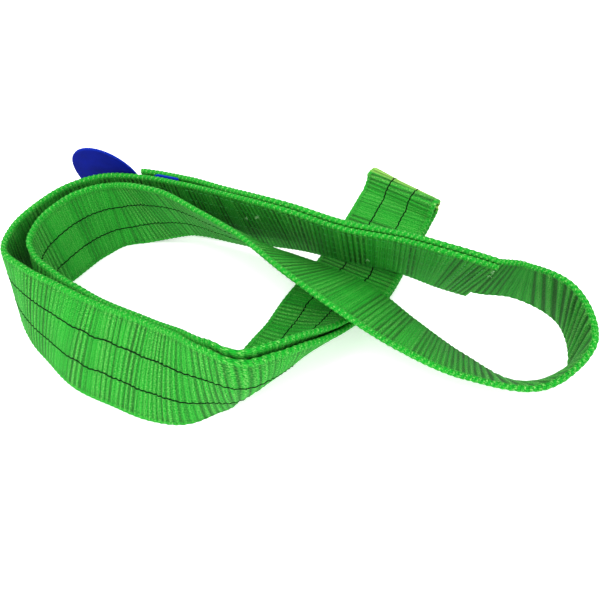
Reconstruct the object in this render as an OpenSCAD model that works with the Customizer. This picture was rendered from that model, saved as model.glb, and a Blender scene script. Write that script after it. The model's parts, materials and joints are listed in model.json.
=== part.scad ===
/* [Webbing] */
// Width of the strip, mm
web_width = 60; // [40:1:100]
// Thickness of one ply, mm
web_thickness = 3.6; // [2.5:0.1:5]
// Length of the sling as it is laid down, mm
laid_length = 366; // [250:1:700]
// Width of one black tracer yarn, mm
tracer_width = 1.2; // [0.6:0.1:2.5]

/* [Seams] */
// Width of a thread row, mm
thread_width = 0.9; // [0.5:0.1:1.5]
// Height of a thread row above the ply, mm
thread_height = 0.3; // [0.2:0.05:0.45]
// Lengthwise rows across the width of the splice
seam_rows = 6; // [2:1:6]

/* [Label] */
// Thickness of the label tape, mm
label_thickness = 0.8; // [0.5:0.1:1.2]
// Length of the free tab past its seam, mm
label_length = 54; // [30:1:75]
// Radius of the tab's rounded end, mm
label_round = 28; // [18:1:30]

/* [View] */
// Part to draw
// Spacing of the cross sections along the strip, mm
ring_step = 10; // [6:1:20]

/* [Hidden] */

green = "#2fae3a";
black = "#16221a";
thread_green = "#3fae45";
blue = "#13288c";

// The route is written for a 60 mm strip laid 366 mm long.
size_xy = laid_length / 366;
size_z = web_width / 60;
// The route's own zero is moved to the middle of the laid sling
centre = [9.6, -3.4];
// Room between two plies that lie on each other, with a tracer between them
play = 0.5;
// Room between the plies where the label is sewn in
label_play = label_thickness + 0.8;
// Lift of the splice where it crosses the doubled band
lift = 2 * web_thickness + 4;

// Each row: top edge x y z, bottom edge x y z, bow across the width, share of the lift.
// The splice's near ply, from its cut end to the label
near_route = [
  [112, -24, 57, 120, -1, 0, 0, 0.4],
  [88, -17, 56, 96, 5, 0, 0, 0.8],
  [62, -8, 55, 69, 17, 0, 0, 1],
  [27, 2, 55, 34, 28, 0, 0, 1],
  [-8, 18, 56, -2, 40, 0, 0, 1],
  [-44, 37, 58, -39, 53, 0, 0, 0.5],
  [-80, 54, 59, -76, 65, 0, 0, 0.1],
  [-112, 63, 60, -110, 73, 0, 0, 0]];
// The coil's outer ply, then the lower ply of the doubled band
outer_route = [
  [-136, 64, 60, -136, 73, 0, 0, 0],
  [-158, 53, 60, -158, 59, 0, 0, 0],
  [-173, 34, 60, -175, 38, 0, 0, 0],
  [-182, 10, 60, -190, 12, 0, 0, 0],
  [-180, -9, 60, -190, -12, 0, 0, 0],
  [-164, -21, 57, -176, -35, 0, 1, 0],
  [-143, -31, 53, -157, -54, 0, 2, 0],
  [-119, -41, 50, -137, -73, 0, 2, 0],
  [-96, -51, 49, -113, -84, 0, 2, 0],
  [-76, -61, 49, -91, -92, 0, 3, 0],
  [-58, -71, 51, -72, -92, 0, 5, 0],
  [-42, -79, 53, -58, -85, 0, 7, 0],
  [-26, -84, 55, -46, -77, 0, 10, 0],
  [-11, -81, 53, -37, -59, 0, 11, 0],
  [7, -68, 43, -28, -41, 0, 9, 0],
  [22, -51, 30, -16, -24, 1, 5, 0],
  [36, -30, 17, -4, -3, 2, 1, 0],
  [60, -1, 4, 15, 32, 2, 0, 0],
  [79, 32, 8, 35, 67, 7, 0, 0],
  [95, 56, 18, 52, 94, 18, 0, 0]];
// The far bight, where the strip turns over
bight_route = [
  [102, 66, 26, 59, 106, 26, 0, 0],
  [102, 66, 32, 59, 106, 32, 0, 0],
  [98, 60, 35, 55, 100, 35, 0, 0]];
// From the coil over the doubled band, round the eye and back to the splice
eye_route = [
  [-94, 40, 65, -82, 57, 10, 0, 0],
  [-65, 19, 65, -47, 44, 14, 0, 0],
  [-36, -3, 63, -14, 29, 18, 0, 0],
  [-8, -29, 58, 18, 11, 22, 0, 0],
  [20, -52, 53, 48, -8, 22, 0, 0],
  [52, -74, 48, 75, -30, 14, 0, 0],
  [85, -90, 45, 102, -50, 6, 0, 0],
  [126, -98, 48, 135, -69, 1, 0, 0],
  [154, -78, 60, 166, -63, 2, 0, 0],
  [153, -44, 64, 170, -28, 9, 0, 0],
  [132, -24, 62, 147, -3, 7, 0, 0]];
// Extra room between the inner and the outer ply, from the far bight round to the back
inner_room = [2, 0.2, 0.2, 0.2, 0.6, 1.2, 1.2, 1.2, 1.2, 1.2, 1.2, 1.2, 2, 3, 6, 10.5, 8.5, 6, 5.5, 5];
// How much further in the inner ply's bottom edge lies than its top edge
inner_lean = [0, 0, 0, 0, 0, 0, 0, 0, 0, 0, 0, 0, 0, 0, 2, 4, 7, 9, 9, 8];
// Extra room between the splice's plies, from the cut end to the label
far_room = [0, 0, 0, 0, 0, 0, 1, 1];

function unit(v) = v / norm(v);
function xyz(q) = [q[0], q[1], q[2]];
function lean(q) = [q[3], q[4], q[5]];
// Station: centre, direction of the top edge, bow
function station(r) =
  let (top = [r[0], r[1], r[2]], low = [r[3], r[4], r[5]], mid = (top + low) / 2, h = unit(top - low))
  [(mid[0] + centre[0]) * size_xy, (mid[1] + centre[1]) * size_xy, mid[2] * size_z + lift * r[7], h[0], h[1], h[2], r[6]];
// Slope of a list of stations at one of them, by distance
function slope(q, i) =
  let (n = len(q), a = i > 0 ? norm(xyz(q[i] - q[i - 1])) : 0, b = i < n - 1 ? norm(xyz(q[i + 1] - q[i])) : 0)
  i == 0 ? (q[1] - q[0]) / b :
  i == n - 1 ? (q[i] - q[i - 1]) / a :
  ((q[i + 1] - q[i]) * (a / b) + (q[i] - q[i - 1]) * (b / a)) / (a + b);
function side(q, i) =
  let (t = unit(xyz(slope(q, i))), w = unit(lean(q[i]) - (lean(q[i]) * t) * t)) cross(t, w);
// Distance between two plies that lie on each other: more where they bow
function ply_gap(bow) = (web_thickness + play) * sqrt(1 + pow(4 * bow / web_width, 2));
// Station moved off the ply's face, its bow kept or turned over
function beside(q, i, d, turn, tilt = 0) =
  let (n = side(q, i), p = xyz(q[i]) + n * (d - tilt / 2), w = unit(lean(q[i]) + n * (tilt / web_width)))
  [p[0], p[1], p[2], w[0], w[1], w[2], q[i][6] * turn];

base = [for (r = concat(near_route, outer_route, bight_route)) station(r)];
n_near = len(near_route);
n_outer = len(outer_route);
n_base = len(base);
upper = [for (k = [0 : n_outer - 1])
  beside(base, n_near + n_outer - 1 - k, -(ply_gap(outer_route[n_outer - 1 - k][6]) + inner_room[k]), -1, inner_lean[k])];
eye = [for (r = eye_route) station(r)];
far = [for (k = [0 : n_near - 1])
  beside(base, k, web_thickness + play + far_room[k] * label_play, 1)];
strip = concat(base, upper, eye, far);
n_strip = len(strip);

// Stations where one stretch ends and the next begins
s_outer = n_near - 1;
s_lower = n_near + 15;
s_bight = n_near + n_outer - 1;
s_upper = n_base;
s_inner = n_base + 4;
s_leg = n_base + n_outer;
s_eye = s_leg + 6;
s_far = n_strip - n_near;

// A ply that lies beside another follows its slope, the inner one backwards
function turned(v) = [-v[0], -v[1], -v[2], -v[3], -v[4], -v[5], v[6]];
slopes = [for (i = [0 : n_strip - 1])
  i >= s_far ? slope(base, i - s_far) :
  i >= s_upper && i < s_leg ? turned(slope(base, s_bight - (i - s_upper))) : slope(strip, i)];
spans = [for (i = [0 : n_strip - 2]) norm(xyz(strip[i + 1] - strip[i]))];

// Centre, top direction, face normal and bow at a point between two stations
function free_frame(i, u) =
  let (
    d = spans[i],
    q = (2 * pow(u, 3) - 3 * pow(u, 2) + 1) * strip[i] + (pow(u, 3) - 2 * pow(u, 2) + u) * d * slopes[i]
      + (3 * pow(u, 2) - 2 * pow(u, 3)) * strip[i + 1] + (pow(u, 3) - pow(u, 2)) * d * slopes[i + 1],
    g = (6 * pow(u, 2) - 6 * u) * (strip[i] - strip[i + 1]) / d
      + (3 * pow(u, 2) - 4 * u + 1) * slopes[i] + (3 * pow(u, 2) - 2 * u) * slopes[i + 1],
    t = unit(xyz(g)),
    w = unit(lean(q) - (lean(q) * t) * t)
  ) [xyz(q), w, cross(t, w), q[6]];
function blend(a, b, u) = a + (b - a) * u * u * (3 - 2 * u);
function inner_frame(k, u) =
  let (
    f = free_frame(s_bight - 1 - k, 1 - u),
    tilt = blend(inner_lean[k], inner_lean[k + 1], u),
    d = ply_gap(f[3]) + blend(inner_room[k], inner_room[k + 1], u) + tilt / 2
  ) [f[0] - f[2] * d, unit(f[1] + f[2] * (tilt / web_width)), unit(f[1] * (tilt / web_width) - f[2]), -f[3]];
function far_frame(k, u) =
  let (f = free_frame(k, u), d = web_thickness + play + label_play * blend(far_room[k], far_room[k + 1], u))
  [f[0] + f[2] * d, f[1], f[2], f[3]];
function frame_at(i, u) =
  i >= s_far ? far_frame(i - s_far, u) :
  i >= s_upper && i < s_leg - 1 ? inner_frame(i - s_upper, u) : free_frame(i, u);
function cuts(i) = max(2, ceil(spans[i] / ring_step));
function run(a, b) = concat(
  [for (i = [a : b - 1]) for (j = [0 : cuts(i) - 1]) frame_at(i, j / cuts(i))], [frame_at(b - 1, 1)]);

// A point across the strip (c from -1 to 1) and above its middle surface; the floor stops it
function bow_at(f, c) = f[3] * (1 - c * c);
function place(f, c, h) =
  let (
    up = unit(f[2] + f[1] * c * 4 * f[3] / web_width),
    p = f[0] + f[1] * c * web_width / 2 + f[2] * bow_at(f, c) + up * h
  ) [p[0], p[1], max(p[2], 0)];

columns = [-1, -0.94, -0.65, -1 / 3, 0, 1 / 3, 0.65, 0.94, 1];
function half(c) = abs(c) == 1 ? web_thickness * 0.22 : web_thickness / 2;
function web_ring(f) = concat(
  [for (c = columns) place(f, c, half(c))],
  [for (k = [len(columns) - 1 : -1 : 0]) place(f, columns[k], -half(columns[k]))]);
// Four-cornered section between two distances across the strip and two heights
function flat_ring(f, c0, c1, h0, h1) =
  [place(f, c0, h1), place(f, c1, h1), place(f, c1, h0), place(f, c0, h0)];

// Closed solid through rings whose points run out along one face and back along the other
module sweep(rings) {
  m = len(rings[0]);
  k = len(rings);
  e = m / 2;
  polyhedron(
    points = [for (r = rings) for (p = r) p],
    faces = concat(
      [for (i = [0 : k - 2]) for (j = [0 : m - 1]) [i * m + j, i * m + (j + 1) % m, (i + 1) * m + (j + 1) % m]],
      [for (i = [0 : k - 2]) for (j = [0 : m - 1]) [i * m + j, (i + 1) * m + (j + 1) % m, (i + 1) * m + j]],
      [for (j = [0 : e - 2]) [j, m - 1 - j, m - 2 - j]],
      [for (j = [0 : e - 2]) [j, m - 2 - j, j + 1]],
      [for (j = [0 : e - 2]) [(k - 1) * m + j, (k - 1) * m + m - 2 - j, (k - 1) * m + m - 1 - j]],
      [for (j = [0 : e - 2]) [(k - 1) * m + j, (k - 1) * m + j + 1, (k - 1) * m + m - 2 - j]]));
}

module webbing(a, b) {
  color(green) sweep([for (f = run(a, b)) web_ring(f)]);
}

module web_splice_near() { webbing(0, s_outer); }
module web_coil_outer() { webbing(s_outer, s_lower); }
module web_band_lower() { webbing(s_lower, s_bight); }
module web_bight() { webbing(s_bight, s_upper); }
module web_band_upper() { webbing(s_upper, s_inner); }
module web_coil_inner() { webbing(s_inner, s_leg); }
module web_leg() { webbing(s_leg, s_eye); }
module web_eye() { webbing(s_eye, s_far); }
module web_splice_far() { webbing(s_far, n_strip - 1); }

// Black yarns on the outer face, a third of the width in from each edge
module tracer(c) {
  e = tracer_width / web_width;
  h = web_thickness / 2;
  color(black) sweep([for (f = run(0, n_strip - 1)) flat_ring(f, c - e, c + e, h + 0.03 + abs(f[3]) * 0.008, h + 0.26)]);
}
module tracer_top() { tracer(1 / 3); }
module tracer_low() { tracer(-1 / 3); }

// Lengthwise rows of the splice: needle thread on the near face, bobbin thread on the far face
row_e = thread_width / web_width;
function row_c(k) = (k - (seam_rows - 1) / 2) * 10 / 30;
near_skin = -(web_thickness / 2) - 0.1;
far_skin = web_thickness / 2 + 0.1;
module rows(a, b, h0, h1) {
  color(thread_green) for (k = [0 : seam_rows - 1])
    sweep([for (f = run(a, b)) flat_ring(f, row_c(k) - row_e, row_c(k) + row_e, h0, h1)]);
}
// Loose end of the needle thread, from a point on the near ply
module tail(i, u, c, reach, drop) {
  f = frame_at(i, u);
  t = cross(f[1], f[2]);
  a = place(f, c, near_skin - 0.35);
  b = a - f[2] * 1.5 + t * reach + f[1] * drop;
  r = 0.3;
  color(thread_green) sweep([for (p = [a, (a + b) / 2 - f[2] * 0.6, b])
    [p + f[1] * r, p + f[1] * r + f[2] * r, p - f[1] * r + f[2] * r, p - f[1] * r]]);
}
module seam_needle() {
  rows(1, n_near - 2, near_skin - thread_height, near_skin);
  tail(4, 0.35, 0.45, -3, 4);
  tail(2, 0.6, -0.55, 3, -3);
}
module seam_bobbin() { rows(s_far + 1, n_strip - 2, far_skin, far_skin + thread_height); }

// Cross rows that close the splice at each end
module cross_row(i, u, h0, h1) {
  f = frame_at(i, u);
  t = cross(f[1], f[2]) * thread_width / 2;
  color(thread_green) sweep([for (c = [-0.9, -0.45, 0, 0.45, 0.9])
    [place(f, c, h1) - t, place(f, c, h1) + t, place(f, c, h0) + t, place(f, c, h0) - t]]);
}
module tack(i, at, h0, h1) {
  for (u = at) cross_row(i, u, h0, h1);
}
right_at = [0.3, 0.5, 0.7];
left_at = [0.3, 0.45, 0.6];
module tack_right_needle() { tack(0, right_at, near_skin - thread_height - 0.1, near_skin - 0.1); }
module tack_left_needle() { tack(n_near - 2, left_at, near_skin - thread_height - 0.1, near_skin - 0.1); }
module tack_right_bobbin() { tack(s_far, right_at, far_skin + 0.25, far_skin + thread_height + 0.25); }
module tack_left_bobbin() { tack(n_strip - 2, left_at, far_skin + 0.25, far_skin + thread_height + 0.25); }

// The label's sewn-in end, between the two plies
label_h = web_thickness / 2 + 0.65;
label_rise = 12 * size_z;
module label_root() {
  color(blue) sweep(concat(
    [for (u = [0.12, 0.4, 0.62]) flat_ring(frame_at(n_near - 2, u), -0.5, 1, label_h, label_h + label_thickness)],
    [for (u = [0.8, 1]) flat_ring(frame_at(n_near - 2, u), -0.5, 0.85, label_h, label_h + label_thickness)],
    [flat_ring(frame_at(n_near - 1, 0.1), -0.5, 0.85, label_h, label_h + label_thickness)]));
}
// Its own seam, on the far face of the tape
module label_seam() {
  color(thread_green) for (u = [0.32, 0.42]) {
    f = frame_at(n_near - 2, u);
    t = cross(f[1], f[2]) * thread_width / 2;
    h = label_h + label_thickness + 0.1;
    sweep([for (c = [-0.45, 0.2, 0.85])
      [place(f, c, h + 0.2) - t, place(f, c, h + 0.2) + t, place(f, c, h) + t, place(f, c, h) - t]]);
  }
}
// The free tab turns about the line where it leaves the seam
fold = frame_at(n_near - 1, 0.1);
fold_up = fold[1];
fold_at = fold[0] + fold[2] * (label_h + label_thickness / 2) + fold_up * web_width * 0.08;
fold_out = let (d = [-0.96, 0.28, 0]) unit(d - (d * fold_up) * fold_up);
fold_n = cross(fold_out, fold_up);
module label_tab() {
  m = [
    [fold_out[0], fold_up[0], fold_n[0], fold_at[0]],
    [fold_out[1], fold_up[1], fold_n[1], fold_at[1]],
    [fold_out[2], fold_up[2], fold_n[2], fold_at[2]],
    [0, 0, 0, 1]];
  color(blue) multmatrix(m) translate([0, 0, -label_thickness / 2]) linear_extrude(label_thickness)
    intersection() {
      translate([0.5, -60]) square([label_length, 120]);
      hull() {
        translate([0.5, -18 * size_z]) square([0.5, 40 * size_z]);
        translate([label_length - label_round, label_rise]) circle(r = label_round, $fn = 64);
      }
    }
}

web_splice_near();
web_coil_outer();
web_band_lower();
web_bight();
web_band_upper();
web_coil_inner();
web_leg();
web_eye();
web_splice_far();
tracer_top();
tracer_low();
seam_needle();
seam_bobbin();
tack_left_needle();
tack_left_bobbin();
tack_right_needle();
tack_right_bobbin();
label_root();
label_tab();
label_seam();
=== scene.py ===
"""Looks of an endless flat web sling laid down in a loose coil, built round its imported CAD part."""

import json
import logging
import math
from dataclasses import dataclass, field
from enum import Enum

import bmesh
import bpy
import numpy as np
from bmesh.types import BMesh
from bpy.types import Material, Node, NodeTree, Object
from mathutils import Matrix, Vector


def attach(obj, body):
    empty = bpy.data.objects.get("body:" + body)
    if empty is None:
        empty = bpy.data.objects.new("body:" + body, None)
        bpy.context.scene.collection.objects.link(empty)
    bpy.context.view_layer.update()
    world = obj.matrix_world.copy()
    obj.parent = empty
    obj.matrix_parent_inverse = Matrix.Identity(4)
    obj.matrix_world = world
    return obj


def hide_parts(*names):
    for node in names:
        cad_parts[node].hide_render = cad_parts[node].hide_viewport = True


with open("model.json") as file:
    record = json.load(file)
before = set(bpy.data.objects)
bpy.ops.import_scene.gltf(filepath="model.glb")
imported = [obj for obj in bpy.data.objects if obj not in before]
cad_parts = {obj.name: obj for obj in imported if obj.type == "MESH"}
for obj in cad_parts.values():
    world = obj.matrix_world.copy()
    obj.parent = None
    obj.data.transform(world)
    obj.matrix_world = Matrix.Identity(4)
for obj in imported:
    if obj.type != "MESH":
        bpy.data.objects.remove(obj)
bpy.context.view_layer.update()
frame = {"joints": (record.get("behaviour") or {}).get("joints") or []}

log = logging.getLogger("web_sling")

Array = np.ndarray

MM = 0.001
TURN = 2 * math.pi

# The strip's route, in mm, as the part's source gives it. Each row: top edge x y z,
# bottom edge x y z, bow across the width, share of the splice's lift.
NEAR_ROUTE = (
    (112, -24, 57, 120, -1, 0, 0, 0.4),
    (88, -17, 56, 96, 5, 0, 0, 0.8),
    (62, -8, 55, 69, 17, 0, 0, 1),
    (27, 2, 55, 34, 28, 0, 0, 1),
    (-8, 18, 56, -2, 40, 0, 0, 1),
    (-44, 37, 58, -39, 53, 0, 0, 0.5),
    (-80, 54, 59, -76, 65, 0, 0, 0.1),
    (-112, 63, 60, -110, 73, 0, 0, 0),
)
OUTER_ROUTE = (
    (-136, 64, 60, -136, 73, 0, 0, 0),
    (-158, 53, 60, -158, 59, 0, 0, 0),
    (-173, 34, 60, -175, 38, 0, 0, 0),
    (-182, 10, 60, -190, 12, 0, 0, 0),
    (-180, -9, 60, -190, -12, 0, 0, 0),
    (-164, -21, 57, -176, -35, 0, 1, 0),
    (-143, -31, 53, -157, -54, 0, 2, 0),
    (-119, -41, 50, -137, -73, 0, 2, 0),
    (-96, -51, 49, -113, -84, 0, 2, 0),
    (-76, -61, 49, -91, -92, 0, 3, 0),
    (-58, -71, 51, -72, -92, 0, 5, 0),
    (-42, -79, 53, -58, -85, 0, 7, 0),
    (-26, -84, 55, -46, -77, 0, 10, 0),
    (-11, -81, 53, -37, -59, 0, 11, 0),
    (7, -68, 43, -28, -41, 0, 9, 0),
    (22, -51, 30, -16, -24, 1, 5, 0),
    (36, -30, 17, -4, -3, 2, 1, 0),
    (60, -1, 4, 15, 32, 2, 0, 0),
    (79, 32, 8, 35, 67, 7, 0, 0),
    (95, 56, 18, 52, 94, 18, 0, 0),
)
BIGHT_ROUTE = (
    (102, 66, 26, 59, 106, 26, 0, 0),
    (102, 66, 32, 59, 106, 32, 0, 0),
    (98, 60, 35, 55, 100, 35, 0, 0),
)
EYE_ROUTE = (
    (-94, 40, 65, -82, 57, 10, 0, 0),
    (-65, 19, 65, -47, 44, 14, 0, 0),
    (-36, -3, 63, -14, 29, 18, 0, 0),
    (-8, -29, 58, 18, 11, 22, 0, 0),
    (20, -52, 53, 48, -8, 22, 0, 0),
    (52, -74, 48, 75, -30, 14, 0, 0),
    (85, -90, 45, 102, -50, 6, 0, 0),
    (126, -98, 48, 135, -69, 1, 0, 0),
    (154, -78, 60, 166, -63, 2, 0, 0),
    (153, -44, 64, 170, -28, 9, 0, 0),
    (132, -24, 62, 147, -3, 7, 0, 0),
)
INNER_ROOM = (2, 0.2, 0.2, 0.2, 0.6, 1.2, 1.2, 1.2, 1.2, 1.2, 1.2, 1.2, 2, 3, 6, 10.5, 8.5, 6, 5.5, 5)
INNER_LEAN = (0, 0, 0, 0, 0, 0, 0, 0, 0, 0, 0, 0, 0, 0, 2, 4, 7, 9, 9, 8)
FAR_ROOM = (0, 0, 0, 0, 0, 0, 1, 1)


class Body(Enum):
    """The CAD bodies that the pieces ride on."""

    SLING = "sling"
    LABEL = "label"


class Slot(Enum):
    """The record's material slots."""

    WEBBING = "webbing_green"
    TRACER = "tracer_black"
    THREAD = "thread_green"
    LABEL = "label_blue"


class Face(Enum):
    """The two faces of the webbing: the outer one carries the tracers."""

    OUTER = 1
    INNER = -1


def unit(v: Array) -> Array:
    """Returns the vectors of the last axis at length 1."""
    return v / np.linalg.norm(v, axis=-1, keepdims=True)


def linear(hex_colour: str) -> tuple[float, float, float, float]:
    """Turns an sRGB hex colour to linear RGBA.

    Args:
        hex_colour: the colour, such as "#2fae3a".

    Returns:
        Red, green, blue and alpha for a shader's socket.
    """
    parts = [int(hex_colour[i : i + 2], 16) / 255 for i in (1, 3, 5)]
    rgb = [c / 12.92 if c <= 0.04045 else ((c + 0.055) / 1.055) ** 2.4 for c in parts]
    return (rgb[0], rgb[1], rgb[2], 1.0)


def smooth_noise(length: float, spacing: float, seed: int) -> Array:
    """Draws seeded random values from -1 to 1, one for each spacing along a length.

    Args:
        length: the length to cover, mm.
        spacing: distance between two values, mm.
        seed: the random draw's seed.

    Returns:
        The values, for noise_at to read.
    """
    return np.random.default_rng(seed).uniform(-1, 1, int(length / spacing) + 3)


def noise_at(values: Array, spacing: float, s: Array) -> Array:
    """Reads seeded values along the strip with smooth steps between them.

    Args:
        values: what smooth_noise gave.
        spacing: distance between two values.
        s: distances along the strip.

    Returns:
        One value for each distance.
    """
    k = np.clip(s / spacing, 0, len(values) - 2.001)
    i = k.astype(int)
    u = k - i
    u = u * u * (3 - 2 * u)
    return values[i] * (1 - u) + values[i + 1] * u


# ---------------- the strip's way through space


@dataclass
class Route:
    """The strip's middle surface, from the splice's near cut end round to its far one, in mm."""

    width: float = 60.0
    thickness: float = 3.6
    play: float = 0.5
    label_thickness: float = 0.8
    centre: tuple[float, float] = (9.6, -3.4)
    steps: int = 48
    s: Array = field(init=False)
    marks: Array = field(init=False)

    def __post_init__(self) -> None:
        """Works out the stations and a close table of frames along them."""
        self.lift = 2 * self.thickness + 4
        self.label_play = self.label_thickness + 0.8
        rows = NEAR_ROUTE + OUTER_ROUTE + BIGHT_ROUTE
        self.base = np.array([self.station(r) for r in rows])
        self.n_near, self.n_outer = len(NEAR_ROUTE), len(OUTER_ROUTE)
        self.s_bight = self.n_near + self.n_outer - 1
        self.s_upper = len(self.base)
        self.s_leg = self.s_upper + self.n_outer
        self.s_eye = self.s_leg + 6
        upper = [
            self.beside(self.s_bight - k, -self.inner_gap(k), -1, INNER_LEAN[k])
            for k in range(self.n_outer)
        ]
        eye = [self.station(r) for r in EYE_ROUTE]
        far = [self.beside(k, self.far_gap(k), 1) for k in range(self.n_near)]
        self.strip = np.array([*self.base, *upper, *eye, *far])
        self.s_far = len(self.strip) - self.n_near
        self.slopes = np.array([self.slope_at(i) for i in range(len(self.strip))])
        self.tabulate()

    def station(self, row: tuple[float, ...]) -> Array:
        """Returns a row's centre, top direction and bow as one vector."""
        top, low = np.array(row[:3], float), np.array(row[3:6], float)
        mid = (top + low) / 2 + np.array([self.centre[0], self.centre[1], self.lift * row[7]])
        return np.concatenate([mid, unit(top - low), [row[6]]])

    def ply_gap(self, bow: float | Array) -> float | Array:
        """Returns the distance between two plies that lie on each other: more where they bow."""
        return (self.thickness + self.play) * np.sqrt(1 + (4 * bow / self.width) ** 2)

    def inner_gap(self, k: int) -> float:
        """Returns the inner ply's distance from the outer one, k rows on from the far bight."""
        return self.ply_gap(OUTER_ROUTE[self.n_outer - 1 - k][6]) + INNER_ROOM[k]

    def far_gap(self, k: int) -> float:
        """Returns the distance between the splice's plies, k rows on from its near cut end."""
        return self.thickness + self.play + FAR_ROOM[k] * self.label_play

    @staticmethod
    def slope(q: Array, i: int) -> Array:
        """Returns the slope of a list of stations at one of them, by distance.

        Args:
            q: the stations.
            i: which one.

        Returns:
            The slope of its centre, top direction and bow, per mm.
        """
        a = np.linalg.norm(q[i, :3] - q[i - 1, :3]) if i > 0 else 0
        b = np.linalg.norm(q[i + 1, :3] - q[i, :3]) if i < len(q) - 1 else 0
        if i == 0:
            return (q[1] - q[0]) / b
        if i == len(q) - 1:
            return (q[i] - q[i - 1]) / a
        return ((q[i + 1] - q[i]) * (a / b) + (q[i] - q[i - 1]) * (b / a)) / (a + b)

    def beside(self, i: int, distance: float, turn: int, tilt: float = 0.0) -> Array:
        """Returns a base station moved off the ply's face, its bow kept or turned over.

        Args:
            i: the base station.
            distance: how far to move it along the face's normal, mm.
            turn: 1 to keep the bow, -1 to turn it over.
            tilt: how much further the bottom edge moves than the top one, mm.

        Returns:
            The new station.
        """
        q = self.base[i]
        t = unit(self.slope(self.base, i)[:3])
        w = unit(q[3:6] - (q[3:6] @ t) * t)
        n = np.cross(t, w)
        top = unit(q[3:6] + n * (tilt / self.width))
        return np.concatenate([q[:3] + n * (distance - tilt / 2), top, [q[6] * turn]])

    def slope_at(self, i: int) -> Array:
        """Returns a station's slope: a ply beside another follows that one's."""
        if i >= self.s_far:
            return self.slope(self.base, i - self.s_far)
        if self.s_upper <= i < self.s_leg:
            back = -self.slope(self.base, self.s_bight - (i - self.s_upper))
            back[6] *= -1
            return back
        return self.slope(self.strip, i)

    def free_frames(self, i: int, u: Array) -> tuple[Array, ...]:
        """Follows a cubic curve between stations i and i + 1: the frames of a ply on its own."""
        a, b, ma, mb = self.strip[i], self.strip[i + 1], self.slopes[i], self.slopes[i + 1]
        d = np.linalg.norm(b[:3] - a[:3])
        u = u[:, None]
        q = (2 * u**3 - 3 * u**2 + 1) * a + (u**3 - 2 * u**2 + u) * d * ma
        q = q + (3 * u**2 - 2 * u**3) * b + (u**3 - u**2) * d * mb
        g = (6 * u**2 - 6 * u) * (a - b) / d + (3 * u**2 - 4 * u + 1) * ma + (3 * u**2 - 2 * u) * mb
        t = unit(g[:, :3])
        lean = q[:, 3:6]
        w = unit(lean - np.sum(lean * t, axis=1, keepdims=True) * t)
        return q[:, :3], w, np.cross(t, w), q[:, 6]

    def frames(self, i: int, u: Array) -> tuple[Array, ...]:
        """Finds the frames of one span, with a ply beside another at its distance.

        Args:
            i: the span's first station.
            u: places in the span, from 0 to 1.

        Returns:
            Centres, top directions, normals and bows.
        """
        ease = u * u * (3 - 2 * u)
        if i >= self.s_far:
            k = i - self.s_far
            c, w, n, bow = self.free_frames(k, u)
            room = FAR_ROOM[k] + (FAR_ROOM[k + 1] - FAR_ROOM[k]) * ease
            gap = self.thickness + self.play + self.label_play * room
            return c + n * gap[:, None], w, n, bow
        if self.s_upper <= i < self.s_leg - 1:
            k = i - self.s_upper
            c, w, n, bow = self.free_frames(self.s_bight - 1 - k, 1 - u)
            tilt = (INNER_LEAN[k] + (INNER_LEAN[k + 1] - INNER_LEAN[k]) * ease)[:, None]
            gap = self.ply_gap(bow) + INNER_ROOM[k] + (INNER_ROOM[k + 1] - INNER_ROOM[k]) * ease
            lean = tilt / self.width
            return c - n * (gap[:, None] + tilt / 2), unit(w + n * lean), unit(w * lean - n), -bow
        return self.free_frames(i, u)

    def tabulate(self) -> None:
        """Joins the spans' frames into one table by distance along the middle of the strip."""
        u = np.arange(self.steps) / self.steps
        parts = [self.frames(i, u) for i in range(len(self.strip) - 1)]
        parts.append(self.frames(len(self.strip) - 2, np.array([1.0])))
        self.c, self.w, self.n, self.bow = (np.concatenate([p[k] for p in parts]) for k in range(4))
        self.s = np.concatenate([[0], np.cumsum(np.linalg.norm(np.diff(self.c, axis=0), axis=1))])
        self.marks = self.s[:: self.steps]

    @property
    def length(self) -> float:
        """The strip's length along its middle, in mm."""
        return float(self.s[-1])

    def read(self, table: Array, s: Array) -> Array:
        """Reads a table of the strip at distances along it."""
        if table.ndim == 1:
            return np.interp(s, self.s, table)
        return np.stack([np.interp(s, self.s, table[:, k]) for k in range(table.shape[1])], axis=-1)

    def place(self, s: Array, c: Array, h: Array) -> Array:
        """Places points on the strip.

        Args:
            s: distance along the strip, mm.
            c: place across it, from 1 at the top edge to -1 at the bottom one.
            h: height above the middle surface towards the outer face, mm.

        Returns:
            Points in metres, none of them below the floor.
        """
        s, c, h = np.broadcast_arrays(np.asarray(s, float), np.asarray(c, float), np.asarray(h, float))
        w, n, bow = unit(self.read(self.w, s)), unit(self.read(self.n, s)), self.read(self.bow, s)
        up = unit(n + w * (c * 4 * bow / self.width)[..., None])
        p = self.read(self.c, s) + w * (c * self.width / 2)[..., None]
        p = p + n * (bow * (1 - c * c))[..., None] + up * h[..., None]
        p[..., 2] = np.maximum(p[..., 2], 0.0)
        return p * MM

    def axes(self, s: float, c: float) -> tuple[Vector, Vector, Vector]:
        """Returns the directions along the strip, to its top edge and out of its outer face.

        Args:
            s: distance along the strip, mm.
            c: place across it, from 1 to -1.

        Returns:
            The three directions, at length 1.
        """
        near = self.place(np.array([s - 0.5, s + 0.5]), np.array([c, c]), np.zeros(2))
        wide = self.place(np.array([s, s]), np.array([c - 0.02, c + 0.02]), np.zeros(2))
        t = Vector(near[1] - near[0]).normalized()
        w = Vector(wide[1] - wide[0])
        w = (w - w.dot(t) * t).normalized()
        return t, w, t.cross(w)


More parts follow.
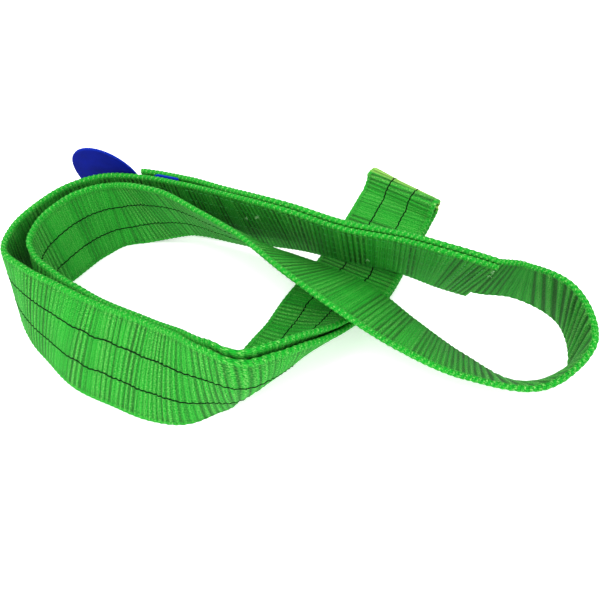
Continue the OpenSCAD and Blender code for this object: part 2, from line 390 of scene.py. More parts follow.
@dataclass
class Weave:
    """The webbing's relief: ribs of weft, creases where it bends, and roped selvedges, in mm."""

    rib_pitch: float = 3.2
    rib_height: float = 0.3
    crease_pitch: float = 3.4
    crease_height: float = 0.2
    rope_pitch: float = 3.4
    rope_height: float = 0.22
    groove: float = 0.14
    groove_at: float = 0.88
    groove_width: float = 0.022
    edge_at: float = 0.93
    edge_fade: float = 0.08
    eye_stretch: float = 0.75
    eye_ease: float = 25.0
    eye_gain: float = 1.4
    inner_gain: float = 0.25
    drift_step: float = 24.0
    swell_step: float = 9.0
    skew_step: float = 60.0

    def prepare(self, route: Route) -> None:
        """Draws the seeded unevenness for a strip of this length, and counts its ribs along it."""
        first, last = route.marks[route.s_eye], route.marks[route.s_far]
        self.grid = np.arange(0, route.length + 1, 1.0)
        ease = np.clip(np.minimum(self.grid - first, last - self.grid) / self.eye_ease, 0, 1)
        self.broad = ease * ease * (3 - 2 * ease)
        self.count = np.cumsum(1 / (self.rib_pitch * (1 + self.eye_stretch * self.broad)))
        self.drift = smooth_noise(route.length, self.drift_step, 3)
        self.swell = smooth_noise(route.length, self.swell_step, 5)
        self.fold = smooth_noise(route.length, self.crease_pitch, 11)
        self.skew = smooth_noise(route.length, self.skew_step, 17)

    def rib_phase(self, s: Array) -> Array:
        """Returns how many ribs lie before a place on the strip, unevenly spaced."""
        return np.interp(s, self.grid, self.count) + 0.55 * noise_at(self.drift, self.drift_step, s)

    def relief(self, s: Array, c: Array) -> Array:
        """Returns how far the surface stands proud of a flat strip at a place on a face.

        Args:
            s: distances along the strip, mm.
            c: places across it, from 1 to -1.

        Returns:
            Heights in mm: below 0 in a valley.
        """
        along = s + c * 0.9 * noise_at(self.skew, self.skew_step, s)
        uneven = 0.7 + 0.6 * noise_at(self.swell, self.swell_step, along)
        rib = np.cos(TURN * self.rib_phase(along)) * uneven
        rib = rib * (1 + self.eye_gain * np.interp(s, self.grid, self.broad))
        fold = noise_at(self.fold, self.crease_pitch, along)
        return self.rib_height * rib + self.crease_height * 0.5 * fold

    def rope(self, s: Array, angle: Array) -> Array:
        """Returns the twist of a selvedge, from -1 to 1, by distance and angle round it."""
        uneven = 0.8 * noise_at(self.swell, self.swell_step, s)
        return np.sin(TURN * s / self.rope_pitch + 1.7 * angle + uneven)


# ---------------- materials


def add_node(tree: NodeTree, kind: str, inputs: dict | None = None, **settings) -> Node:
    """Adds one node with its settings and links.

    Args:
        tree: the material's node tree.
        kind: the node's type after "ShaderNode", such as "TexNoise".
        inputs: socket name or number, to a constant or to (node, output name).
        settings: properties of the node itself.

    Returns:
        The new node.
    """
    node = tree.nodes.new("ShaderNode" + kind)
    for name, value in settings.items():
        setattr(node, name, value)
    for socket, value in (inputs or {}).items():
        if isinstance(value, tuple) and isinstance(value[0], Node):
            tree.links.new(value[0].outputs[value[1]], node.inputs[socket])
        else:
            node.inputs[socket].default_value = value
    return node


def blank_material(name: str) -> tuple[Material, NodeTree]:
    """Returns a new material and its empty node tree."""
    made = bpy.data.materials.new(name)
    made.use_nodes = True
    made.node_tree.nodes.clear()
    return made, made.node_tree


def wave_scale(pitch_mm: float) -> float:
    """Returns a Wave Texture's scale for bands of this pitch on coordinates in metres."""
    return TURN / 20 / (pitch_mm * MM)


def noise_scale(grain_mm: float) -> float:
    """Returns a Noise Texture's scale for grains of this size on coordinates in metres."""
    return 1 / (grain_mm * MM)


@dataclass(frozen=True)
class WovenPolyester:
    """Woven polyester webbing: bright yarns with painted shade in their gaps and the rib valleys, a
    speckled grain, and painted highlights on the rib tops, the selvedges and the far bight's fold.
    """

    name: str = "woven_polyester_webbing"
    deep: str = "#035010"
    body: str = "#077d1a"
    bright: str = "#149c24"
    # Painted highlight colour: pale yellow-green for the rib tops, the selvedges' crests and a speckle
    # over the faces
    painted_highlight: str = "#a9e884"
    # Painted shade colour for the rib valleys and the groove by each selvedge
    groove: str = "#02400c"
    # Painted highlight colour for the rib tops round the far bight's fold
    bight_highlight_tint: str = "#a9cf62"
    weft_mm: float = 1.6
    warp_mm: float = 1.15
    grain_mm: float = 0.7
    mottle_mm: float = 14.0

    def build(self) -> Material:
        """Makes the material on the strip's own UV map, which is in metres."""
        made, tree = blank_material(self.name)
        laid = add_node(tree, "UVMap", uv_map="laid")
        place = (laid, "UV")
        # Yarn crossings, drawn a little coarser than the real ones so that they show
        weft = add_node(tree, "TexWave", {"Vector": place, "Scale": wave_scale(self.weft_mm),
            "Distortion": 2.2, "Detail": 1.0, "Detail Scale": 1.5}, bands_direction="X")
        warp = add_node(tree, "TexWave", {"Vector": place, "Scale": wave_scale(self.warp_mm),
            "Distortion": 1.0, "Detail": 1.0, "Detail Scale": 1.5}, bands_direction="Y")
        crossing = add_node(tree, "Math", {0: (weft, "Fac"), 1: (warp, "Fac")}, operation="MULTIPLY")
        grain = add_node(tree, "TexNoise", {"Vector": place, "Scale": noise_scale(self.grain_mm),
            "Detail": 3.0, "Roughness": 0.65})
        height = add_node(tree, "Math", {0: (crossing, "Value"), 1: (grain, "Fac")}, operation="ADD")
        mottle = add_node(tree, "TexNoise", {"Vector": place, "Detail": 2.0,
            "Scale": noise_scale(self.mottle_mm)})
        shade = add_node(tree, "Math", {0: (mottle, "Fac"), 1: 0.35, 2: (height, "Value")},
            operation="MULTIPLY_ADD")
        # Painted shade: the ramp runs from deep in the gaps between yarns to bright on their crossings;
        # grain and mottle vary it at random
        ramp = add_node(tree, "ValToRGB", {"Fac": (shade, "Value")})
        stops = ramp.color_ramp.elements
        stops[0].position = 0.42
        stops[0].color = linear(self.deep)
        stops[1].position = 1.25 / 1.3
        stops[1].color = linear(self.bright)
        middle = stops.new(0.7)
        middle.color = linear(self.body)
        # Painted highlight: a pale speckle, strongest on the rib tops and the selvedges' crests
        pale = add_node(tree, "Attribute", attribute_name="pale")
        fuzz = add_node(tree, "Math", {0: (grain, "Fac"), 1: 5.0, 2: -2.3}, operation="MULTIPLY_ADD")
        highlight_speckle = add_node(tree, "Math", {0: (pale, "Fac"), 1: (fuzz, "Value")},
            operation="MULTIPLY", use_clamp=True)
        # Painted shade: the rib valleys and the grooves go dark towards the groove colour
        valley = add_node(tree, "Attribute", attribute_name="valley")
        shaded = add_node(tree, "Mix", {0: (valley, "Fac"), 6: (ramp, "Color"),
            7: linear(self.groove)}, data_type="RGBA")
        highlighted = add_node(tree, "Mix", {0: (highlight_speckle, "Value"), 6: (shaded, "Result"),
            7: linear(self.painted_highlight)}, data_type="RGBA")
        # Painted highlight: pale bands on the rib tops round the far bight's fold, which faces up into the
        # light
        strain = add_node(tree, "Attribute", attribute_name="strain")
        colour = add_node(tree, "Mix", {0: (strain, "Fac"), 6: (highlighted, "Result"),
            7: linear(self.bight_highlight_tint)}, data_type="RGBA")
        bump = add_node(tree, "Bump", {"Height": (height, "Value"), "Strength": 0.8,
            "Distance": 0.3 * MM})
        skin = add_node(tree, "BsdfPrincipled", {"Base Color": (colour, "Result"),
            "Normal": (bump, "Normal"), "Roughness": 0.7, "Specular IOR Level": 0.08})
        add_node(tree, "OutputMaterial", {"Surface": (skin, "BSDF")})
        return made


@dataclass(frozen=True)
class TwistedThread:
    """Twisted polyester thread or yarn: a fine diagonal twist that breaks its highlight."""

    name: str
    dark: str
    light: str
    twist_mm: float = 0.9
    roughness: float = 0.55
    specular: float = 0.3
    sheen: float = 0.1

    def build(self) -> Material:
        """Makes the material from bands turned across the thread."""
        made, tree = blank_material(self.name)
        place = add_node(tree, "TexCoord")
        twist = add_node(tree, "TexWave", {"Vector": (place, "Object"),
            "Scale": wave_scale(self.twist_mm), "Distortion": 2.0}, bands_direction="DIAGONAL")
        ramp = add_node(tree, "ValToRGB", {"Fac": (twist, "Fac")})
        ramp.color_ramp.elements[0].color = linear(self.dark)
        ramp.color_ramp.elements[1].color = linear(self.light)
        bump = add_node(tree, "Bump", {"Height": (twist, "Fac"), "Strength": 0.5,
            "Distance": 0.15 * MM})
        skin = add_node(tree, "BsdfPrincipled", {"Base Color": (ramp, "Color"),
            "Normal": (bump, "Normal"), "Roughness": self.roughness,
            "Specular IOR Level": self.specular, "Sheen Weight": self.sheen})
        add_node(tree, "OutputMaterial", {"Surface": (skin, "BSDF")})
        return made


@dataclass(frozen=True)
class CoatedTape:
    """Coated polyester label tape: a smooth skin over a fine plain weave, paler along its rim."""

    name: str = "coated_polyester_tape"
    body: str = "#04178c"
    deep: str = "#030f66"
    rim: str = "#1230a8"
    weave_mm: float = 0.9
    cloud_mm: float = 9.0

    def build(self) -> Material:
        """Makes the material on the tape's own UV map, which is in metres."""
        made, tree = blank_material(self.name)
        laid = add_node(tree, "UVMap", uv_map="laid")
        across = add_node(tree, "TexWave", {"Vector": (laid, "UV"),
            "Scale": wave_scale(self.weave_mm)}, bands_direction="X")
        along = add_node(tree, "TexWave", {"Vector": (laid, "UV"),
            "Scale": wave_scale(self.weave_mm)}, bands_direction="Y")
        weave = add_node(tree, "Math", {0: (across, "Fac"), 1: (along, "Fac")}, operation="MULTIPLY")
        cloud = add_node(tree, "TexNoise", {"Vector": (laid, "UV"), "Detail": 3.0,
            "Scale": noise_scale(self.cloud_mm)})
        base = add_node(tree, "Mix", {0: (cloud, "Fac"), 6: linear(self.deep),
            7: linear(self.body)}, data_type="RGBA")
        pale = add_node(tree, "Attribute", attribute_name="pale")
        colour = add_node(tree, "Mix", {0: (pale, "Fac"), 6: (base, "Result"),
            7: linear(self.rim)}, data_type="RGBA")
        bump = add_node(tree, "Bump", {"Height": (weave, "Value"), "Strength": 0.3,
            "Distance": 0.1 * MM})
        skin = add_node(tree, "BsdfPrincipled", {"Base Color": (colour, "Result"),
            "Normal": (bump, "Normal"), "Roughness": 0.85, "Specular IOR Level": 0.05})
        add_node(tree, "OutputMaterial", {"Surface": (skin, "BSDF")})
        return made


@dataclass(frozen=True)
class GlowingWhiteFloor:
    """White floor with a painted glow: an even white ground whose emission thins the shadows on it and
    lights the sling a little from below.
    """

    name: str = "glowing_white_floor"
    colour: str = "#fdfdfd"
    glow: float = 0.45
    tooth_mm: float = 2.0

    def build(self) -> Material:
        """Makes the material."""
        made, tree = blank_material(self.name)
        place = add_node(tree, "TexCoord")
        tooth = add_node(tree, "TexNoise", {"Vector": (place, "Object"),
            "Scale": noise_scale(self.tooth_mm)})
        bump = add_node(tree, "Bump", {"Height": (tooth, "Fac"), "Strength": 0.05,
            "Distance": 0.1 * MM})
        # Painted glow: the floor emits light, which thins the shadows on it and lights the sling from
        # below
        skin = add_node(tree, "BsdfPrincipled", {"Base Color": linear(self.colour),
            "Normal": (bump, "Normal"), "Roughness": 0.95, "Specular IOR Level": 0.1,
            "Emission Color": linear(self.colour), "Emission Strength": self.glow})
        add_node(tree, "OutputMaterial", {"Surface": (skin, "BSDF")})
        return made


# ---------------- shared mesh work


def hand_over(piece: Object, body: Body, nodes: tuple[str, ...]) -> Object:
    """Rides a piece on its body and hides the CAD nodes that it stands for.

    Args:
        piece: the finished piece.
        body: the CAD body that it moves with.
        nodes: the CAD nodes to hide, or none.

    Returns:
        The same piece.
    """
    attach(piece, body.value)
    if nodes:
        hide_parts(*nodes)
    log.info("%s: %d faces on %s", piece.name, len(piece.data.polygons), body.value)
    return piece


def new_piece(name: str, shape: BMesh, finish: Material) -> Object:
    """Turns a bmesh into a smooth-shaded object at the origin."""
    mesh = bpy.data.meshes.new(name)
    shape.to_mesh(mesh)
    shape.free()
    mesh.materials.append(finish)
    mesh.polygons.foreach_set("use_smooth", np.ones(len(mesh.polygons), bool))
    mesh.update()
    return link(bpy.data.objects.new(name, mesh))


def link(made: Object) -> Object:
    """Puts an object in the scene."""
    bpy.context.scene.collection.objects.link(made)
    return made


def unit_grid(along: int, across: int) -> tuple[BMesh, Array]:
    """Makes a flat grid and returns it with each vertex's place on it, both from 0 to 1."""
    shape = bmesh.new()
    shape.loops.layers.uv.new("laid")
    bmesh.ops.create_grid(shape, x_segments=along, y_segments=across, size=0.5, calc_uvs=True)
    at = np.array([v.co[:2] for v in shape.verts]) + 0.5
    return shape, at


def scale_uv(shape: BMesh, along: Array, across: Array) -> None:
    """Stretches a grid's UV map to real distances.

    Args:
        shape: the grid, its UV map still from 0 to 1.
        along: distances at even steps along it, in metres.
        across: distances at even steps across it, in metres.
    """
    layer = shape.loops.layers.uv["laid"]
    su, sv = np.linspace(0, 1, len(along)), np.linspace(0, 1, len(across))
    loops = [loop for f in shape.faces for loop in f.loops]
    uv = np.array([loop[layer].uv[:] for loop in loops])
    u, v = np.interp(uv[:, 0], su, along), np.interp(uv[:, 1], sv, across)
    for loop, x, y in zip(loops, u, v):
        loop[layer].uv = (x, y)


def move(shape: BMesh, points: Array, marks: dict[str, Array] | None = None) -> None:
    """Moves a grid's vertices into place and marks them.

    Args:
        shape: the grid.
        points: a place for each vertex, in metres.
        marks: attribute names, each to a value for each vertex.
    """
    for name, values in (marks or {}).items():
        layer = shape.verts.layers.float.new(name)
        for v, value in zip(shape.verts, values):
            v[layer] = value
    for v, p in zip(shape.verts, points):
        v.co = p


def close_sleeve(shape: BMesh) -> None:
    """Welds a rolled-up grid's seam and closes its ends."""
    bmesh.ops.remove_doubles(shape, verts=shape.verts, dist=1e-7)
    ends = [e for e in shape.edges if e.is_boundary]
    bmesh.ops.holes_fill(shape, edges=ends, sides=0)
    bmesh.ops.triangulate(shape, faces=[f for f in shape.faces if len(f.verts) > 4])
    bmesh.ops.recalc_face_normals(shape, faces=shape.faces)


class StitchBank:
    """Collects copies of one small stitch in a single mesh."""

    def __init__(self, radius: float, sides: int = 6, rings: int = 4) -> None:
        """Makes the stitch: a round-ended grain of a given radius, in metres."""
        seed = bmesh.new()
        bmesh.ops.create_uvsphere(seed, u_segments=sides, v_segments=rings, radius=1.0)
        self.grain = bpy.data.meshes.new("stitch")
        seed.to_mesh(self.grain)
        seed.free()
        self.radius = radius
        self.shape = bmesh.new()

    def add(self, at: Vector, along: Vector, out: Vector, length: float, flat: float = 0.7) -> None:
        """Lays one stitch.

        Args:
            at: its middle.
            along: its direction.
            out: the surface's normal.
            length: its length, in metres.
            flat: its height as a share of its width.
        """
        side = out.cross(along).normalized()
        turn = Matrix((side, out, along)).transposed().to_4x4()
        size = Matrix.Diagonal((self.radius, self.radius * flat, length / 2, 1))
        copy = self.grain.copy()
        copy.transform(Matrix.Translation(at) @ turn @ size)
        self.shape.from_mesh(copy)
        bpy.data.meshes.remove(copy)

    def finish(self, name: str, finish: Material) -> Object:
        """Turns all stitches into one piece."""
        bmesh.ops.recalc_face_normals(self.shape, faces=self.shape.faces)
        return new_piece(name, self.shape, finish)

    def stand_for(self, node: str, finish: Material) -> Object:
        """Turns all stitches into the piece that stands for one CAD node of thread."""
        piece = self.finish(f"{node}_stitches", finish)
        return hand_over(piece, Body.SLING, (node,))


# ---------------- sub-assemblies


@dataclass
class Webbing:
    """The strip itself, and the two black tracer yarns woven into its outer face."""

    route: Route
    weave: Weave
    ring_step: float = 0.88
    rope_columns: int = 5
    face_columns: tuple[float, ...] = (0.94, 0.905, 0.87, 0.79, 0.66, 0.5, 1 / 3, 1 / 6, 0.0)
    tracer_at: float = 1 / 3
    tracer_radius: float = 0.48
    tracer_wave: float = 0.22
    tracer_step: float = 0.75
    # Painted shade: how dark the rib valleys and the grooves are drawn
    valley_depth: float = 0.85
    groove_seen: float = 0.08
    # Painted highlight: how pale the rib tops and the faces are drawn
    rib_pale: float = 0.36
    face_pale: float = 0.14
    # Painted highlight: how far from the bight's crest the pale bands reach, mm
    bight_highlight_reach: float = 13.0
    nodes: tuple[str, ...] = (
        "web_splice_near", "web_coil_outer", "web_band_lower", "web_bight", "web_band_upper",
        "web_coil_inner", "web_leg", "web_eye", "web_splice_far",
    )

    def section(self) -> tuple[Array, Array, Array]:
        """Returns the section once round, from the outer face's top: side, place across, angle.

        Side is 1 on the outer face, -1 on the inner one and 0 round a selvedge, where the
        angle runs from 90 degrees on the outer face to -90 on the inner one.
        """
        face = [*self.face_columns, *(-c for c in self.face_columns[-2::-1])]
        arc = np.linspace(90, -90, self.rope_columns + 2)[1:-1]
        edge = self.face_columns[0]
        rows = [(1, c, 90) for c in face]
        rows += [(0, -edge, a) for a in arc]
        rows += [(-1, -c, -90) for c in face]
        rows += [(0, edge, a) for a in arc[::-1]]
        rows += rows[:1]
        return tuple(np.array(r, float) for r in zip(*rows))

    def strip(self, finish: Material) -> Object:
        """Makes the whole strip as one sleeve of rings."""
        route, weave = self.route, self.weave
        side, column, angle = self.section()
        rings = int(route.length / self.ring_step)
        shape, at = unit_grid(rings, len(side) - 1)
        s = at[:, 0] * route.length
        k = np.rint(at[:, 1] * (len(side) - 1)).astype(int)
        half = route.thickness / 2
        round_edge = half * 2 / route.width
        side = side[k]
        column = column[k]
        turn = np.radians(angle[k])
        rope = weave.rope(s, turn * np.sign(column))
        swell = np.where(np.abs(column) >= self.face_columns[1], weave.rope_height * rope, 0.0)
        from_groove = (np.abs(column) - weave.groove_at) / weave.groove_width
        dip = weave.groove * np.exp(-(from_groove**2))
        fade = np.clip((weave.edge_at - np.abs(column)) / weave.edge_fade, 0, 1)
        body = weave.relief(s, column) * fade
        body = body + np.where(side < 0, weave.inner_gain, 0.0) * body
        radius = half + swell
        bulge = np.sign(column) * np.cos(turn) * round_edge * radius / half
        c = np.where(side == 0, column + bulge, column)
        h = np.where(side == 0, np.sin(turn) * radius, side * (radius + body - dip))
        points = route.place(s, c, h)
        steps = np.linspace(0, route.length, rings + 1) * MM
        flat = np.interp(np.linspace(0, 1, 200), np.linspace(0, 1, len(angle)), self.around(angle))
        scale_uv(shape, steps, flat * MM)
        # Painted shade: darker the deeper a rib valley, and along the groove by each selvedge
        valley = np.clip(-1.3 * body / weave.rib_height - 0.05, 0, 1) * self.valley_depth
        valley = valley + np.where(dip > self.groove_seen, 0.25, 0.0)
        # Painted highlight on the rib tops and the selvedges' crests
        pale = self.paleness(s, column, side, rope)
        valley = np.clip(valley, 0, 1)
        move(shape, points, {"pale": pale, "valley": valley, "strain": self.strain(s, side)})
        close_sleeve(shape)
        return new_piece("webbing_strip", shape, finish)

    def around(self, angle: Array) -> Array:
        """Returns the distance round the section at each of its points, in mm."""
        side, column, _ = self.section()
        half = self.route.thickness / 2
        x = column * self.route.width / 2
        x = x + np.where(side == 0, np.sign(column) * np.cos(np.radians(angle)) * half, 0)
        y = np.where(side == 0, np.sin(np.radians(angle)), side) * half
        return np.concatenate([[0], np.cumsum(np.hypot(np.diff(x), np.diff(y)))])

    def paleness(self, s: Array, column: Array, side: Array, rope: Array) -> Array:
        """Returns the painted highlight on the yarn: most on the selvedges' crests, less on the rib tops,
        a little over the whole faces.

        Args:
            s: distances along the strip, mm.
            column: places across it, from 1 to -1.
            side: 1 on the outer face, -1 on the inner one, 0 round a selvedge.
            rope: the selvedge's twist, from -1 to 1.

        Returns:
            Shares from 0 to 1.
        """
        crest = np.where(side == 0, np.clip(rope, 0, 1) ** 3, 0)
        proud = np.clip(self.weave.relief(s, column) / self.weave.rib_height, 0, 1)
        rib = self.face_pale + proud * self.rib_pale
        return np.clip(crest + np.where(side == 0, 0, rib), 0, 1)

    def strain(self, s: Array, side: Array) -> Array:
        """Returns the painted highlight on the outer face's rib tops round the far bight's fold."""
        marks, crest = self.route.marks, self.route.s_bight + 1
        apex = (marks[crest] + marks[crest + 1]) / 2
        near = np.clip(1 - np.abs(s - apex) / self.bight_highlight_reach, 0, 1)
        band = np.clip(0.5 + 0.9 * np.cos(TURN * self.weave.rib_phase(s)), 0, 1)
        return np.where(side >= 0, np.clip(near * 1.3 - 0.35 * (1 - band) - 0.1, 0, 0.85), 0.0)

    def tracer(self, name: str, across: float, finish: Material) -> Object:
        """Makes one tracer: a flattened yarn that weaves a little from side to side.

        Args:
            name: the piece's name.
            across: its place across the strip, from 1 to -1.
            finish: its material.

        Returns:
            The piece.
        """
        route, weave = self.route, self.weave
        rings = int(route.length / self.tracer_step)
        shape, at = unit_grid(rings, 6)
        s = at[:, 0] * route.length
        turn = at[:, 1] * TURN
        sway = self.tracer_wave * np.sin(TURN * weave.rib_phase(s) * 0.8)
        sway = sway + 0.45 * noise_at(weave.swell, weave.swell_step, s)
        sway = sway + 0.3 * noise_at(weave.fold, weave.crease_pitch, s)
        sink = 0.5 + 0.5 * np.cos(TURN * weave.rib_phase(s))
        x = sway + self.tracer_radius * np.cos(turn)
        h = route.thickness / 2 + weave.relief(s, np.full_like(s, across)) + 0.05 * sink
        h = h + self.tracer_radius * 0.55 * np.sin(turn)
        points = route.place(s, across + x * 2 / route.width, h)
        scale_uv(shape, np.linspace(0, route.length, rings + 1) * MM, np.linspace(0, 3 * MM, 7))
        move(shape, points)
        close_sleeve(shape)
        return new_piece(name, shape, finish)

    def build(self, green: Material, black: Material) -> list[Object]:
        """Makes the strip and its tracers, and hands them over."""
        strip = hand_over(self.strip(green), Body.SLING, self.nodes)
        made = [strip]
        for edge, across in (("top", 1), ("low", -1)):
            yarn = self.tracer(f"tracer_yarn_{edge}", across * self.tracer_at, black)
            made.append(hand_over(yarn, Body.SLING, (f"tracer_{edge}",)))
        return made


@dataclass
class Splice:
    """The threads that sew the two plies together: long rows, cross tacks and loose tails."""

    route: Route
    weave: Weave
    rows: int = 6
    row_gap: float = 10.0
    stitch: float = 3.0
    gap: float = 1.2
    radius: float = 0.36
    tack_reach: float = 0.9
    right_rows: tuple[float, ...] = (0.3, 0.5, 0.7)
    left_rows: tuple[float, ...] = (0.3, 0.45, 0.6)
    tail_radius: float = 0.16
    tail_length: float = 2.6
    seed: int = 23

    def spots(self, first: float, last: float) -> list[tuple[float, float]]:
        """Returns the middle of each stitch of the long rows, as distance along and place across."""
        pitch = self.stitch + self.gap
        count = int((last - first) / pitch)
        half = self.route.width / 2
        places = [(k - (self.rows - 1) / 2) * self.row_gap / half for k in range(self.rows)]
        return [(first + (j + 0.5) * pitch, c) for c in places for j in range(count)]

    def lay(self, bank: StitchBank, face: Face, s: float, c: float, cross: bool = False) -> None:
        """Lays one stitch on a face of the strip.

        Args:
            bank: collects the stitches.
            face: which face.
            s: distance along the strip, mm.
            c: place across it, from 1 to -1.
            cross: True to lay it across the strip, not along it.
        """
        t, w, n = self.route.axes(s, c)
        out = n * face.value
        proud = self.route.thickness / 2 + float(self.weave.relief(np.array(s), np.array(c))) + 0.06
        at = Vector(self.route.place(s, c, face.value * proud))
        bank.add(at, w if cross else t, out, self.stitch * MM)

    def long_rows(self, side: str, face: Face, first: float, last: float, finish: Material) -> Object:
        """Makes the lengthwise rows on one side of the splice.

        Args:
            side: "needle" or "bobbin", as in the CAD node's name.
            face: the face of the strip that they lie on.
            first: distance along the strip where they start, mm.
            last: where they end, mm.
            finish: their material.

        Returns:
            The piece.
        """
        bank = StitchBank(self.radius * MM)
        for s, c in self.spots(first, last):
            self.lay(bank, face, s, c)
        return bank.stand_for(f"seam_{side}", finish)

    def tack(self, end: str, face: Face, span: int, shares: tuple[float, ...],
             finish: Material) -> Object:
        """Makes the rows across the strip at one end of the splice, on one side of it.

        Args:
            end: the end and the side, as in the CAD node's name.
            face: the face of the strip that they lie on.
            span: the route's span that they lie in.
            shares: each row's place in the span, from 0 to 1.
            finish: their material.

        Returns:
            The piece.
        """
        bank = StitchBank(self.radius * MM)
        pitch = (self.stitch + self.gap) * 2 / self.route.width
        a, b = self.route.marks[span], self.route.marks[span + 1]
        for u in shares:
            for j in range(int(2 * self.tack_reach / pitch)):
                self.lay(bank, face, a + (b - a) * u, -self.tack_reach + (j + 0.5) * pitch, cross=True)
        return bank.stand_for(f"tack_{end}", finish)

    def tails(self, finish: Material) -> Object:
        """Makes the loose ends: small knots on the near ply and frayed yarn at its cut end."""
        route = self.route
        random = np.random.default_rng(self.seed)
        bank = StitchBank(self.tail_radius * MM, sides=5, rings=3)
        # Each knot: share of the near ply's length, place across it, number of ends
        knots = [(0.62, 0.42, 6), (0.31, -0.45, 4), (0.0, 0.62, 3), (0.0, 0.85, 3), (0.66, 0.3, 3)]
        span = route.marks[route.n_near - 1]
        for share, c, count in knots:
            s = max(1.2, share * span)
            t, w, n = route.axes(s, c)
            for _ in range(count):
                lean = Vector(random.uniform(-1, 1, 3))
                along = (t * lean.x + w * lean.y - n * (0.35 + abs(lean.z) * 0.4)).normalized()
                start = Vector(route.place(s, c + random.uniform(-0.05, 0.05), -route.thickness / 2 - 0.2))
                bank.add(start + along * 1.1 * MM, along, along.orthogonal(), self.tail_length * MM, 1.0)
        return hand_over(bank.finish("loose_thread_tails", finish), Body.SLING, ())

    def build(self, thread: Material, tail: Material) -> list[Object]:
        """Makes all the splice's threads."""
        m, far = self.route.marks, self.route.s_far
        near_end, far_end = self.route.n_near - 2, len(m) - 2
        tacks = (
            ("right_needle", Face.INNER, 0, self.right_rows),
            ("left_needle", Face.INNER, near_end, self.left_rows),
            ("right_bobbin", Face.OUTER, far, self.right_rows),
            ("left_bobbin", Face.OUTER, far_end, self.left_rows),
        )
        return [
            self.long_rows("needle", Face.INNER, m[1], m[near_end], thread),
            self.long_rows("bobbin", Face.OUTER, m[far + 1], m[far_end], thread),
            *(self.tack(*row, thread) for row in tacks),
            self.tails(tail),
        ]


@dataclass
class Label:
    """The blue tape: its end sewn in between the plies, its seam, and the free tab."""

    route: Route
    thickness: float = 0.8
    length: float = 54.0
    tip_radius: float = 28.0
    tip_rise: float = 12.0
    root_drop: float = 18.0
    tab_height: float = 56.0
    root_height: float = 42.0
    curl: float = 1.1
    ripple: float = 0.25
    rim: float = 0.9
    play: float = 0.65
    seam_radius: float = 0.3
    columns: int = 40
    rows: int = 24

    def fold(self) -> tuple[Vector, Vector, Vector, Vector]:
        """Returns the hinge line's point and up direction, and the tab's out direction and normal."""
        joint = frame["joints"][0]
        at, up = Vector(joint["pos_m"]), Vector(joint["axis"]).normalized()
        out = Vector((-0.96, 0.28, 0))
        out = (out - out.dot(up) * up).normalized()
        return at, up, out, out.cross(up)

    def outline(self, x: Array) -> tuple[Array, Array]:
        """Returns the tab's lower and upper edge: straight near the fold, then round.

        Args:
            x: distances from the fold, mm.

        Returns:
            The lower and the upper edge's heights, mm.
        """
        centre = self.length - self.tip_radius
        dx, dy = centre - 0.5, self.tip_rise + self.root_drop
        lean = math.atan2(dy, dx) - math.asin(self.tip_radius / math.hypot(dx, dy))
        touch = centre + self.tip_radius * math.sin(lean)
        line = -self.root_drop + (x - 0.5) * math.tan(lean)
        reach = np.sqrt(np.maximum(self.tip_radius**2 - (x - centre) ** 2, 0))
        return np.where(x < touch, line, self.tip_rise - reach), self.tip_rise + reach

    def thicken(self, piece: Object) -> Object:
        """Gives a flat piece the tape's thickness, half of it on each side."""
        wall = piece.modifiers.new("tape", "SOLIDIFY")
        wall.thickness = self.thickness * MM
        wall.offset = 0
        return piece

    def tab(self, finish: Material) -> Object:
        """Makes the free tab: a doubled tape with a rounded end and a paler rim."""
        at, up, out, normal = self.fold()
        shape, place = unit_grid(self.columns, self.rows)
        scale_uv(shape, np.linspace(0, self.length * MM, 3), np.linspace(0, self.tab_height * MM, 3))
        # Columns close up towards the round end, so that its outline stays round
        x = 0.5 + (self.length - 0.52) * np.sin(place[:, 0] * math.pi / 2)
        low, high = self.outline(x)
        y = low + (high - low) * place[:, 1]
        inset = np.minimum(np.minimum(y - low, high - y), self.length - x)
        curl = self.curl * (x / self.length) ** 2 + self.ripple * np.sin(y / 9) * x / self.length
        points = [at + (out * px + up * py + normal * pz) * MM for px, py, pz in zip(x, y, curl)]
        move(shape, points, {"pale": np.maximum(0.0, 0.6 - inset / self.rim)})
        bmesh.ops.remove_doubles(shape, verts=shape.verts, dist=1e-6)
        return self.thicken(new_piece("label_tab_tape", shape, finish))

    def root(self, finish: Material) -> Object:
        """Makes the sewn-in end of the tape, which just shows between the plies' top edges."""
        route = self.route
        a, b = route.marks[route.n_near - 2], route.marks[route.n_near - 1]
        first = a + (b - a) * 0.12
        last = route.marks[route.n_near - 1] * 0.9 + route.marks[route.n_near] * 0.1
        shape, place = unit_grid(24, 12)
        wide = np.linspace(0, self.root_height * MM, 3)
        scale_uv(shape, np.linspace(0, (last - first) * MM, 3), wide)
        s = first + (last - first) * place[:, 0]
        # The top edge stands up to the plies' edges further in and drops towards the fold
        top = np.interp(s, [a + (b - a) * 0.62, a + (b - a) * 0.8], [1.0, 0.85])
        c = -0.5 + (top + 0.5) * place[:, 1]
        points = route.place(s, c, route.thickness / 2 + self.play + self.thickness / 2)
        move(shape, points, {"pale": np.where(place[:, 1] > 0.97, 0.7, 0.0)})
        return self.thicken(new_piece("label_root_tape", shape, finish))

    def seam(self, finish: Material) -> Object:
        """Makes the two rows of stitches that hold the tape."""
        route = self.route
        bank = StitchBank(self.seam_radius * MM)
        height = route.thickness / 2 + self.play + self.thickness + 0.05
        for u in (0.32, 0.42):
            s = route.marks[route.n_near - 2] * (1 - u) + route.marks[route.n_near - 1] * u
            for c in np.arange(-0.42, 0.84, 0.13):
                _, w, n = route.axes(s, float(c))
                bank.add(Vector(route.place(s, c, height)), w, n, 3.0 * MM)
        return bank.stand_for("label_seam", finish)

    def build(self, tape: Material, thread: Material) -> list[Object]:
        """Makes the label's pieces."""
        tab = hand_over(self.tab(tape), Body.LABEL, ("label_tab",))
        root = hand_over(self.root(tape), Body.SLING, ("label_root",))
        return [tab, root, self.seam(thread)]


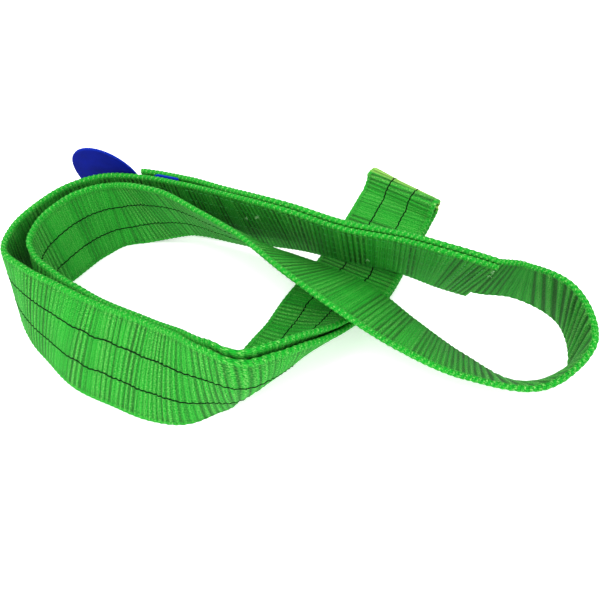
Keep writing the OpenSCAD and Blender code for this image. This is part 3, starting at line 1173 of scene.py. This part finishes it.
@dataclass
class Studio:
    """A white floor with a painted glow, two soft lights above and in front, and the camera."""

    target: tuple[float, float, float] = (0.0096, -0.0034, 0.0)
    distance: float = 0.375
    elevation: float = 50.0
    lens: float = 32.0
    floor_size: float = 8.0
    floor_drop: float = 0.0002
    sky: float = 1.4

    def camera(self) -> None:
        """Makes the camera: it looks along +Y and down at the floor."""
        data = bpy.data.cameras.new("camera")
        data.lens = self.lens
        data.sensor_width = 36.0
        data.clip_start = 0.01
        camera = link(bpy.data.objects.new("camera", data))
        tilt = math.radians(self.elevation)
        back = Vector((0, -math.cos(tilt), math.sin(tilt)))
        camera.location = Vector(self.target) + back * self.distance
        camera.rotation_euler = (math.pi / 2 - tilt, 0, 0)
        bpy.context.scene.camera = camera

    def light(self, name: str, at: tuple[float, float, float], size: float, power: float) -> None:
        """Makes one soft square light that shines at the sling.

        Args:
            name: the light's name.
            at: its place, in metres.
            size: its side, in metres.
            power: its power, in watts.
        """
        data = bpy.data.lights.new(name, "AREA")
        data.size = size
        data.energy = power
        lamp = link(bpy.data.objects.new(name, data))
        lamp.location = at
        lamp.rotation_euler = (Vector(self.target) - Vector(at)).to_track_quat("-Z", "Y").to_euler()

    def floor(self, finish: Material) -> None:
        """Makes the floor, just under the sling."""
        shape = bmesh.new()
        bmesh.ops.create_grid(shape, x_segments=4, y_segments=4, size=self.floor_size / 2)
        bmesh.ops.translate(shape, verts=shape.verts, vec=(0, 0, -self.floor_drop))
        new_piece("floor", shape, finish)

    def build(self, ground: Material) -> None:
        """Sets up the whole studio."""
        self.camera()
        self.light("key", (-0.45, -0.2, 1.1), 0.7, 8.0)
        self.light("front", (0.5, -1.1, 0.5), 1.0, 4.5)
        self.floor(ground)
        world = bpy.data.worlds.new("studio")
        world.use_nodes = True
        sky = world.node_tree.nodes["Background"]
        sky.inputs["Color"].default_value = linear("#ffffff")
        sky.inputs["Strength"].default_value = self.sky
        bpy.context.scene.world = world
        bpy.context.scene.view_settings.view_transform = "Standard"


def main() -> None:
    """Builds the studio and then the sling, piece by piece."""
    logging.basicConfig(level=logging.INFO, format="%(name)s %(message)s")
    Studio().build(GlowingWhiteFloor().build())
    route, weave = Route(), Weave()
    weave.prepare(route)
    log.info("strip: %.0f mm long", route.length)
    # Polyester yarn dyed in the mass: a saturated green that stays bright in the shade
    green = WovenPolyester().build()
    # Spun black yarn: dull, with a slight green tint
    black = TwistedThread("spun_black_yarn", "#010402", "#06140a", roughness=0.9, specular=0.05,
                          sheen=0.0).build()
    # Bonded polyester thread: a shade lighter than the webbing and a little shiny
    thread = TwistedThread("bonded_polyester_thread", "#1d8a30", "#2f9a3a").build()
    # Cut thread ends catch the light and look almost white
    tail = TwistedThread("cut_thread_end", "#5fae5a", "#a8d89e").build()
    tape = CoatedTape().build()
    pieces = Webbing(route, weave).build(green, black)
    pieces += Splice(route, weave).build(thread, tail)
    pieces += Label(route).build(tape, thread)
    log.info("%d pieces", len(pieces))


if __name__ == "__main__":
    main()
